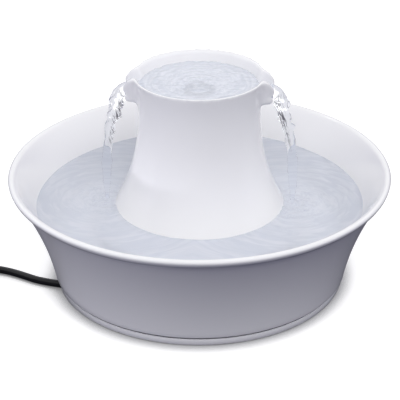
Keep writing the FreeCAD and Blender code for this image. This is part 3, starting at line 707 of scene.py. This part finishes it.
def tower_r(z):
    bow = COLUMN_BOW_R if z < NECK_Z else MOUTH_BOW_R
    return NECK_R + bow - math.sqrt(bow ** 2 - (z - NECK_Z) ** 2)


def skirt_z():
    across = NECK_R + COLUMN_BOW_R - SKIRT_R
    return NECK_Z - math.sqrt(COLUMN_BOW_R ** 2 - across ** 2)


def soften_spouts(tower):
    # Each spout's side walls fall away to the tip in a soft hump, and are a little hollow outside.
    root_x, half_width = 0.050, 0.024
    fall_x, fall_run, fall_depth = 0.0545, 0.0075, 0.0075
    hollow_x, hollow_z, hollow_run, hollow_height, hollow_depth = 0.0570, 0.170, 0.0036, 0.006, 0.0014
    push_x, push_run, push_out = 0.0555, 0.0045, 0.0015
    shape = bmesh.new()
    shape.from_mesh(tower.data)
    for vertex in shape.verts:
        reach, aside, z = abs(vertex.co.x), abs(vertex.co.y), vertex.co.z
        if reach < root_x or aside > half_width or z < SPOUT_FOOT_Z - 0.002:
            continue
        if aside > CHANNEL_HALF - 0.0012 and reach > fall_x:
            rise = clamped((z - CHANNEL_Z) / (TOWER_TOP_Z - CHANNEL_Z))
            vertex.co.z -= fall_depth * rise * min((reach - fall_x) / fall_run, 1.0) ** 1.4
        if aside > CHANNEL_HALF + 0.0014:
            hollow = math.exp(-((reach - hollow_x) / hollow_run) ** 2 - ((z - hollow_z) / hollow_height) ** 2)
            vertex.co.y -= math.copysign(hollow_depth * hollow, vertex.co.y)
        if reach > push_x:
            vertex.co.x += math.copysign(push_out * min((reach - push_x) / push_run, 1.0), vertex.co.x)
    near = [v for v in shape.verts
            if abs(v.co.x) > root_x - 0.004 and abs(v.co.y) < half_width and v.co.z > CHANNEL_Z + 0.001]
    for _ in range(8):
        bmesh.ops.smooth_vert(shape, verts=near, factor=0.5, use_axis_x=True, use_axis_y=True,
                              use_axis_z=True)
    shape.to_mesh(tower.data)
    shape.free()


def true_column(tower):
    # The column is trued on the wheel again, but not its skirt, its top edge or the roots of its spouts.
    low_z = skirt_z() + 0.002
    top_z = TOWER_TOP_Z - 0.0025
    furthest = 0.0014
    for vertex in tower.data.vertices:
        x, y, z = vertex.co
        radius = math.hypot(x, y)
        if z < low_z or z > top_z or radius < 1e-6:
            continue
        target = tower_r(z)
        if abs(radius - target) > furthest:
            continue
        turn = abs(math.atan2(y, abs(x)))
        clear = 1.0
        if z > SPOUT_FOOT_Z - 0.006:
            clear = clamped((turn - math.radians(24)) / math.radians(8))
        edge = clamped((top_z - z) / 0.003)
        scale = 1 + clear * edge * (target / radius - 1)
        vertex.co.x = x * scale
        vertex.co.y = y * scale


def make_tower():
    # The solid's sharp edges are melted as glaze melts.
    tower = cad_copy("tower_ceramic", "tower")
    melt(tower, 0.0015, 5)
    soften_spouts(tower)
    true_column(tower)
    shade_smooth(tower)
    dress(tower, "white_glaze", "tower_top", "tower")


# Water

def ripple_height(x, y):
    # Rings round each stream's landing place, a slow swell, and a quick chop close to the streams.
    height = 0.0
    for side in (-1, 1):
        away = math.hypot(x - side * STREAM_LANDING, y)
        ring = math.sin(away * 720.0 - side * 0.8) * 0.00030 * math.exp(-away / 0.024)
        far = math.sin(away * 410.0 + side) * 0.00008 * math.exp(-away / 0.06)
        near = noise.noise(Vector((x * 230, y * 230, side * 3.0))) * 0.0009 * math.exp(-(away / 0.020) ** 2)
        height += ring + far + near
    height += noise.noise(Vector((x * 34, y * 34, 4.0))) * 0.00022
    height += noise.noise(Vector((x * 90, y * 90, 9.0))) * 0.00010
    return height


def make_bowl_water():
    shore = bowl_r(WATER_Z, WALL) + WATER_INTO_GLAZE
    rings = 92
    outline = [(shore * i / rings, WATER_Z) for i in range(1, rings + 1)]
    bend_z = FLOOR_Z + FLOOR_ROUND
    bend_r = bowl_r(bend_z, WALL)
    outline += [(bowl_r(z, WALL) + WATER_INTO_GLAZE, z) for z in (0.060, 0.052, 0.044, 0.037, bend_z)]
    bend = (bend_r - 0.33 * FLOOR_ROUND + 0.7 * WATER_INTO_GLAZE,
            FLOOR_Z + 0.27 * FLOOR_ROUND - 0.7 * WATER_INTO_GLAZE)
    floor_r = bowl_r(FLOOR_Z, WALL) - 0.78 * FLOOR_ROUND
    outline += arc_points(outline[-1], bend, (floor_r, FLOOR_Z - WATER_INTO_GLAZE), 8)
    outline += [(0.06, FLOOR_Z - WATER_INTO_GLAZE), (0.003, FLOOR_Z - WATER_INTO_GLAZE)]
    water = turned_piece("bowl_water", outline, 320)
    for vertex in water.data.vertices:
        if vertex.co.z > WATER_Z - 0.0001:
            away = math.hypot(vertex.co.x, vertex.co.y)
            climb = 0.0011 * math.exp(-(shore - away) / 0.0016)
            tower_shore = away - tower_r(WATER_Z)
            if tower_shore > -0.001:
                climb += 0.0009 * math.exp(-max(tower_shore, 0) / 0.0014)
            vertex.co.z += climb + ripple_height(vertex.co.x, vertex.co.y)
    shade_smooth(water, 40)
    dress(water, "bowl_water", "base")


# Middle (x, z), half depth in the plane of the fall and half width across it, from the dish to the bowl
STREAM = [
    (0.0400, 0.1702, 0.0046, 0.0090),
    (0.0540, 0.1700, 0.0045, 0.0092),
    (0.0615, 0.1684, 0.0044, 0.0090),
    (0.0658, 0.1640, 0.0047, 0.0082),
    (0.0677, 0.1570, 0.0053, 0.0070),
    (0.0700, 0.1470, 0.0049, 0.0054),
    (0.0725, 0.1380, 0.0043, 0.0040),
    (0.0747, 0.1290, 0.0041, 0.0030),
    (0.0763, 0.1150, 0.0036, 0.0019),
    (0.0775, 0.1010, 0.0044, 0.0013),
    (0.0780, 0.0830, 0.0032, 0.0012),
    (0.0780, 0.0710, 0.0017, 0.0013),
    (0.0780, 0.0640, 0.0017, 0.0016),
]


def between(table, s):
    # A smooth curve through the rows of a table, with s counted in rows.
    i = min(int(s), len(table) - 2)
    t = s - i
    before, after = table[max(i - 1, 0)], table[min(i + 2, len(table) - 1)]
    values = []
    for p0, p1, p2, p3 in zip(before, table[i], table[i + 1], after):
        values.append(0.5 * (2 * p1 + (p2 - p0) * t + (2 * p0 - 5 * p1 + 4 * p2 - p3) * t * t
                             + (3 * p1 - p0 - 3 * p2 + p3) * t ** 3))
    return values


def make_stream(side):
    # A thick sheet leaves the spout, twists into strands, and falls on as a thin sheet that faces the front.
    steps, around = 200, 48
    shape = bmesh.new()
    rows = []
    last = len(STREAM) - 1
    for i in range(steps + 1):
        s = last * i / steps
        x, z, depth, half = between(STREAM, s)
        ahead, behind = between(STREAM, min(s + 0.05, last)), between(STREAM, max(s - 0.05, 0))
        run = Vector((ahead[0] - behind[0], 0, ahead[1] - behind[1])).normalized()
        normal = Vector((-run.z, 0, run.x))
        # The strands begin past the tip, and come together again towards the bowl.
        broken = clamped((s - 2.2) / 1.2) * min(max((9.5 - s) / 3.5, 0.25), 1.0)
        row = []
        for j in range(around):
            angle = 2 * math.pi * j / around
            strand = math.sin(3 * angle + s * 2.6 * side) * 0.5 + math.sin(5 * angle - s * 1.7 + side) * 0.3
            chop = noise.noise(Vector((math.cos(angle) * 1.6, math.sin(angle) * 1.6, s * 1.9 + 7 * side)))
            swell = 1 + broken * (0.13 * strand + 0.42 * chop)
            beads = 1 + 0.12 * broken * math.sin(s * 5.2 + side)
            point = Vector((x, 0, z)) + normal * depth * math.sin(angle) * swell * beads
            point.y += half * math.cos(angle) * swell
            row.append(shape.verts.new((side * point.x, point.y, point.z)))
        rows.append(row)
    for a, b in zip(rows, rows[1:]):
        for j in range(around):
            k = (j + 1) % around
            shape.faces.new((a[j], a[k], b[k], b[j]))
    shape.faces.new(rows[0])
    shape.faces.new(rows[-1])
    bmesh.ops.recalc_face_normals(shape, faces=shape.faces)
    return made_from(shape, "stream")


def dish_surface(x, y):
    # The water wells up over the outlet and runs off to both sides in fine arcs.
    away = math.hypot(x, y)
    welling = 0.0010 * math.exp(-(away / 0.013) ** 2)
    shift = 2 * noise.noise(Vector((x * 60, y * 60, 0)))
    rings = 0.00024 * math.sin(away * 880 + shift) * math.exp(-away / 0.045)
    chop = 0.0006 * noise.noise(Vector((x * 120, y * 170, 2.0)))
    fine = 0.0003 * noise.noise(Vector((x * 330, y * 420, 7.0)))
    return welling + rings + chop + fine


def make_dish_water():
    inner_rim = tower_r(TOWER_TOP_Z) - MOUTH_WALL
    share = (DISH_WATER_Z - DISH_WALL_Z) / (TOWER_TOP_Z - DISH_WALL_Z)
    shore = DISH_WALL_R + share * (inner_rim - DISH_WALL_R) + WATER_INTO_GLAZE
    rings = 46
    outline = [(shore * i / rings, DISH_WATER_Z) for i in range(1, rings + 1)]
    outline.append((DISH_WALL_R + WATER_INTO_GLAZE, DISH_WALL_Z))
    bend = (DISH_FLOOR_R + 0.78 * (DISH_WALL_R - DISH_FLOOR_R) + 0.0005,
            DISH_FLOOR_Z + 0.35 * (DISH_WALL_Z - DISH_FLOOR_Z) - 0.0004)
    outline += arc_points(outline[-1], bend, (DISH_FLOOR_R, DISH_FLOOR_Z - 0.0008), 5)
    outline.append((0.001, DISH_FLOOR_Z - 0.0008))
    water = turned_piece("dish_water", outline, 180)
    streams = [make_stream(side) for side in (-1, 1)]
    pick(water)
    for stream in streams:
        stream.select_set(True)
    bpy.ops.object.join()
    melt(water, 0.0007, 3)
    for vertex in water.data.vertices:
        x, y, z = vertex.co
        if z > DISH_WATER_Z - 0.002 and math.hypot(x, y) < shore:
            vertex.co.z += dish_surface(x, y)
    shade_smooth(water)
    dress(water, "dish_water", "tower_top")
    water.data.materials.append(MATERIALS["falling_water"])
    for face in water.data.polygons:
        if abs(face.center.x) > SPOUT_TIP - 0.002 or face.center.z < SPOUT_FOOT_Z - 0.001:
            face.material_index = 1


def make_splashes():
    # Small round drops and bubbles that float half sunk where the streams land, all in one piece.
    spots = [(side * STREAM_LANDING, -0.004, 0.015, 40, 0.0011) for side in (-1, 1)]
    spots += [(side * 0.070, -0.026, 0.009, 16, 0.0010) for side in (-1, 1)]
    chance = random.Random(11)
    shape = bmesh.new()
    for x, y, spread, count, largest in spots:
        for _ in range(count):
            away = spread * math.sqrt(chance.random())
            turn = chance.uniform(0, 2 * math.pi)
            px = x + away * math.cos(turn)
            py = y + away * math.sin(turn)
            radius = largest * chance.uniform(0.3, 1.0) ** 1.5
            place = Matrix.Translation((px, py, WATER_Z + radius * 0.25))
            bmesh.ops.create_icosphere(shape, subdivisions=2, radius=radius, matrix=place)
    splashes = made_from(shape, "splash_bubbles")
    shade_smooth(splashes)
    dress(splashes, "falling_water", "base")


# Cord

def coil_point(turn):
    # One layer spirals in, the next spirals out, with the climb in the half turn where it reverses.
    inward = COIL_TURNS - abs(turn - COIL_TURNS)
    radius = COIL_OUTER_R - COIL_PITCH * inward
    climb = clamped((turn - COIL_TURNS) * 2 + 0.5)
    angle = math.radians(90) + 2 * math.pi * turn
    height = COIL_Z + LAYER_STEP * (3 * climb ** 2 - 2 * climb ** 3)
    return (COIL_CENTRE[0] + radius * math.cos(angle), COIL_CENTRE[1] + radius * math.sin(angle), height)


def cord_points():
    points = [EXIT_POINT] + CORD_ROUTE
    points.append((COIL_CENTRE[0] + COIL_LEAD_IN, COIL_CENTRE[1] + COIL_OUTER_R, COIL_Z))
    # The control points stand out a little from the turns, because the spline cuts inside them.
    outwards = 1 + (1 / math.cos(math.pi / COIL_POINTS_PER_TURN) - 1) * 0.5
    count = int(round(2 * COIL_TURNS * COIL_POINTS_PER_TURN))
    for i in range(count + 1):
        x, y, z = coil_point(i / COIL_POINTS_PER_TURN)
        x = COIL_CENTRE[0] + (x - COIL_CENTRE[0]) * outwards
        y = COIL_CENTRE[1] + (y - COIL_CENTRE[1]) * outwards
        points.append((x, y, z))
    end = coil_point(2 * COIL_TURNS)
    points.append((end[0] - COIL_TAIL, end[1], end[2]))
    return points


def make_cord():
    curve = bpy.data.curves.new("mains_cord", "CURVE")
    curve.dimensions = "3D"
    curve.bevel_depth = CORD_R
    curve.bevel_resolution = 6
    curve.use_fill_caps = True
    spline = curve.splines.new("NURBS")
    points = cord_points()
    spline.points.add(len(points) - 1)
    for control, point in zip(spline.points, points):
        control.co = (*point, 1)
    spline.order_u = 3
    spline.use_endpoint_u = True
    spline.resolution_u = 6
    cord = put_in_scene("mains_cord", curve)
    curve.materials.append(MATERIALS["black_cord"])
    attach(cord, "base")
    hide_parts("cord_run", "cord_coil")
    return cord


def make_tie():
    tie = cad_copy("coil_tie", "cord_tie")
    round_edges(tie, 0.0003, 2)
    shade_smooth(tie, 40)
    return dress(tie, "strap_weave", "base", "cord_tie")


def make_foam():
    foam = cad_copy("filter_foam", "foam_filter")
    melt(foam, 0.0011, 2)
    for vertex in foam.data.vertices:
        pore = noise.noise(vertex.co * 900) * 0.00018
        vertex.co -= vertex.normal * (0.0002 + pore)
    shade_smooth(foam)
    dress(foam, "filter_foam", "base", "foam_filter")


# Stage

def unscattered(tree, shares):
    # 1 for the kinds of ray that are named, each by its share, as long as no rough surface has scattered them.
    path = tree.nodes.new("ShaderNodeLightPath")
    total = 0.0
    for kind, share in shares.items():
        total = calc(tree, "MULTIPLY_ADD", path.outputs[kind], share, total)
    total = calc(tree, "MINIMUM", total, 1.0)
    return calc(tree, "MULTIPLY", total, calc(tree, "LESS_THAN", path.outputs["Diffuse Depth"], 0.5))


def make_floor():
    # White for the eye, straight or through water, and much darker for the light that it sends back up, with a
    # soft shadow at the contact that is partly real and deepened by painted shadow.
    bpy.ops.mesh.primitive_plane_add(size=FLOOR_SIZE, location=(0, 0, -FLOOR_DROP))
    floor = settle(added("floor"))
    material, tree, shader = new_material("floor_white")
    shader.inputs["Roughness"].default_value = 0.9
    shader.inputs["Specular IOR Level"].default_value = 0.1
    seen = unscattered(tree, {"Is Camera Ray": 1.0, "Is Transmission Ray": 1.0, "Is Glossy Ray": FLOOR_IN_GLOSS})
    # Painted shadow: an occlusion node darkens the floor's seen colour and glow close to the object.
    corner = tree.nodes.new("ShaderNodeAmbientOcclusion")
    corner.inputs["Distance"].default_value = CONTACT_REACH
    corner.samples = 8
    shown = calc(tree, "MULTIPLY", seen, ramp(tree, corner.outputs["AO"], 0.3, 0.85, CONTACT_SHADE, 1.0))
    tree.links.new(mixed(tree, shown, FLOOR_BOUNCE, FLOOR_SEEN), shader.inputs["Base Color"])
    shader.inputs["Emission Color"].default_value = (1, 1, 1, 1)
    tree.links.new(calc(tree, "MULTIPLY", shown, FLOOR_GLOW), shader.inputs["Emission Strength"])
    floor.data.materials.append(material)


def make_lamps():
    for name, (place, target, width, height, watts, colour, mirrored) in LAMPS.items():
        data = bpy.data.lights.new(name, "AREA")
        data.shape = "RECTANGLE"
        data.size = width
        data.size_y = height
        data.energy = watts
        data.color = colour
        lamp = put_in_scene(name, data)
        lamp.location = place
        lamp.rotation_euler = (Vector(target) - Vector(place)).to_track_quat("-Z", "Y").to_euler()
        lamp.visible_glossy = mirrored


def make_world():
    # Soft light that grows from low down to high up and dims again right overhead. The eye sees plain white, and
    # mirrors and water also see a dark room behind the eye.
    world = bpy.data.worlds.new("studio")
    bpy.context.scene.world = world
    world.use_nodes = True
    tree = world.node_tree
    background = tree.nodes["Background"]
    path = tree.nodes.new("ShaderNodeLightPath")
    coordinates = tree.nodes.new("ShaderNodeTexCoord")
    split = tree.nodes.new("ShaderNodeSeparateXYZ")
    tree.links.new(coordinates.outputs["Generated"], split.inputs[0])
    back, up = split.outputs["Y"], split.outputs["Z"]
    dark = calc(tree, "MULTIPLY", ramp(tree, back, -0.20, -0.45), ramp(tree, up, 0.75, 0.5))
    dark = calc(tree, "MULTIPLY", dark, unscattered(tree, {"Is Glossy Ray": 1.0, "Is Transmission Ray": 1.0}))
    sky = mixed(tree, ramp(tree, up, 0.0, 0.6), SKY_LOW, SKY_HIGH)
    seen = mixed(tree, path.outputs["Is Camera Ray"], sky, (1, 1, 1))
    tree.links.new(seen, background.inputs["Color"])
    strength = calc(tree, "MULTIPLY", calc(tree, "MULTIPLY_ADD", dark, -ROOM_DARKNESS, 1.0),
                    ramp(tree, up, 0.58, 0.95, 1.0, OVERHEAD))
    tree.links.new(strength, background.inputs["Strength"])


def make_camera():
    data = bpy.data.cameras.new("camera")
    data.lens = CAMERA_LENS
    data.sensor_width = SENSOR
    data.sensor_height = SENSOR
    data.sensor_fit = "HORIZONTAL"
    camera = put_in_scene("camera", data)
    turn = Matrix.Rotation(CAMERA_TURN, 4, "Z")
    place = turn @ Vector((CAMERA_SIDE, -CAMERA_BACK, CAMERA_UP))
    tilt = Matrix.Rotation(math.radians(90) - CAMERA_PITCH, 4, "X")
    roll = Matrix.Rotation(CAMERA_ROLL, 4, "Z")
    camera.matrix_world = Matrix.Translation(place) @ turn @ tilt @ roll
    bpy.context.scene.camera = camera


finish_cad_nodes()
make_camera()
make_lamps()
make_world()
make_floor()
cord = make_cord()
tie = make_tie()
make_foam()
make_bowl()
make_tower()
make_bowl_water()
make_dish_water()
make_splashes()

bpy.context.scene.view_settings.view_transform = "Standard"
